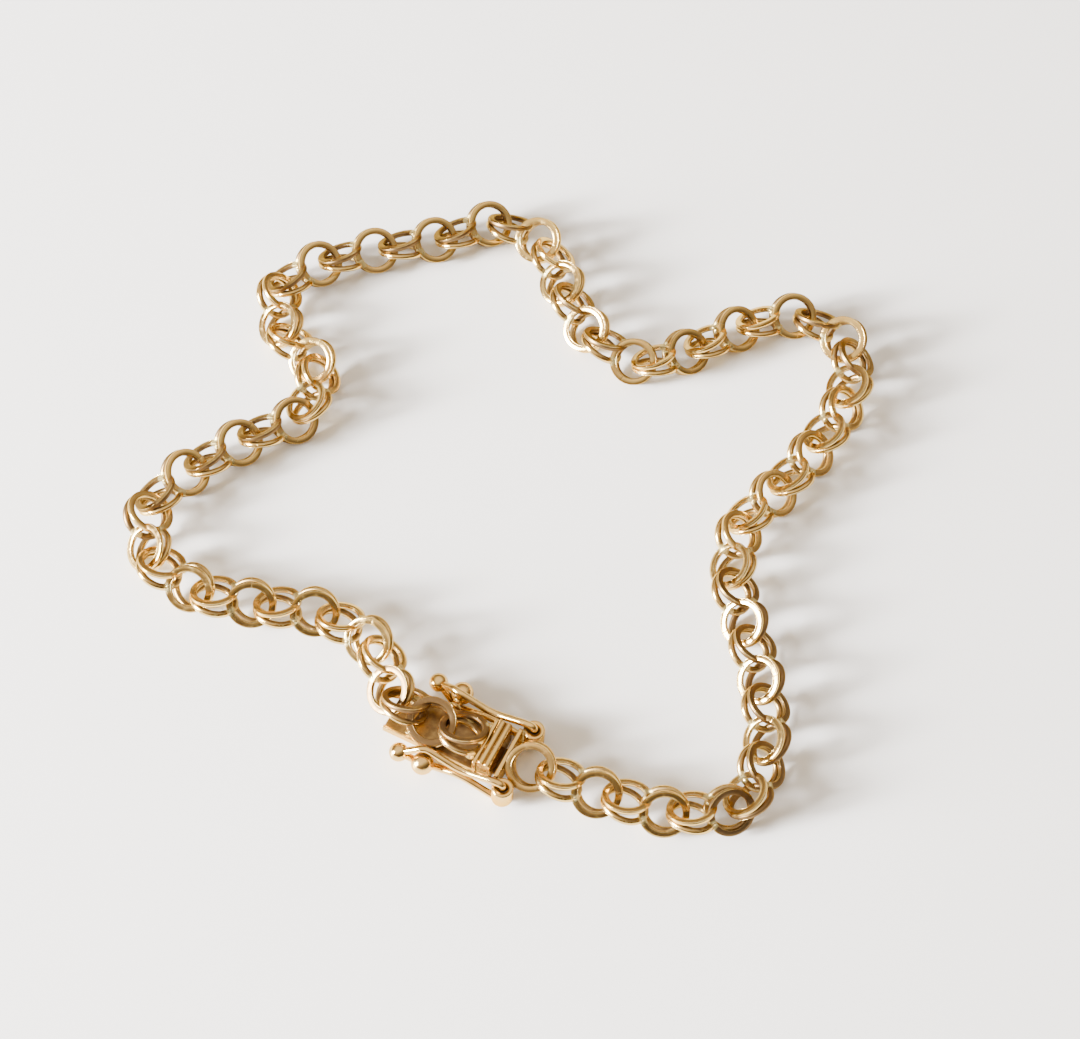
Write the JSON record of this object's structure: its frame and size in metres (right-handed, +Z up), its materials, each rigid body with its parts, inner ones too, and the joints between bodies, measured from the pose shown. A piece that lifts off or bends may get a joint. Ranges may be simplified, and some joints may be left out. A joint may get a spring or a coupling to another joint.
{
  "type": "link bracelet",
  "caption": "Gold bracelet of interlocked double rings, soldered two and two, with a flat box clasp, a spring tongue with a thumb tab and two figure-eight safety catches.",
  "frame": {"origin": "middle of the flat underside of the clasp's box, on the surface that the bracelet lies on", "axes": "+X along the clasp from its box to its end plate, +Y from the clasp into the loop, +Z up"},
  "size_m": [0.0493, 0.0463, 0.0037],
  "materials": {
    "link_gold": "polished",
    "clasp_gold": "polished",
    "catch_gold": "polished"
  },
  "bodies": {
    "bracelet": {"link_01": "link_gold", "link_02": "link_gold", "link_03": "link_gold", "link_04": "link_gold", "link_05": "link_gold", "link_06": "link_gold", "link_07": "link_gold", "link_08": "link_gold", "link_09": "link_gold", "link_10": "link_gold", "link_11": "link_gold", "link_12": "link_gold", "link_13": "link_gold", "link_14": "link_gold", "link_15": "link_gold", "link_16": "link_gold", "link_17": "link_gold", "link_18": "link_gold", "link_19": "link_gold", "link_20": "link_gold", "link_21": "link_gold", "link_22": "link_gold", "link_23": "link_gold", "link_24": "link_gold", "link_25": "link_gold", "link_26": "link_gold", "link_27": "link_gold", "link_28": "link_gold", "link_29": "link_gold", "link_30": "link_gold", "link_31": "link_gold", "link_32": "link_gold", "link_33": "link_gold", "link_34": "link_gold", "link_35": "link_gold", "link_36": "link_gold", "box": "clasp_gold", "tongue": "clasp_gold"},
    "near_catch": {"catch_near": "catch_gold"},
    "far_catch": {"catch_far": "catch_gold"}
  },
  "joints": [
    {"name": "near_catch_hinge", "type": "hinge", "parent": "bracelet", "child": "near_catch", "pos_m": [0.0057, -0.00232, 0.00136], "axis": [0, 0, 1], "range_deg": [0, 120]},
    {"name": "far_catch_hinge", "type": "hinge", "parent": "bracelet", "child": "far_catch", "pos_m": [0.0057, 0.00232, 0.00136], "axis": [0, 0, -1], "range_deg": [0, 120]}
  ]
}
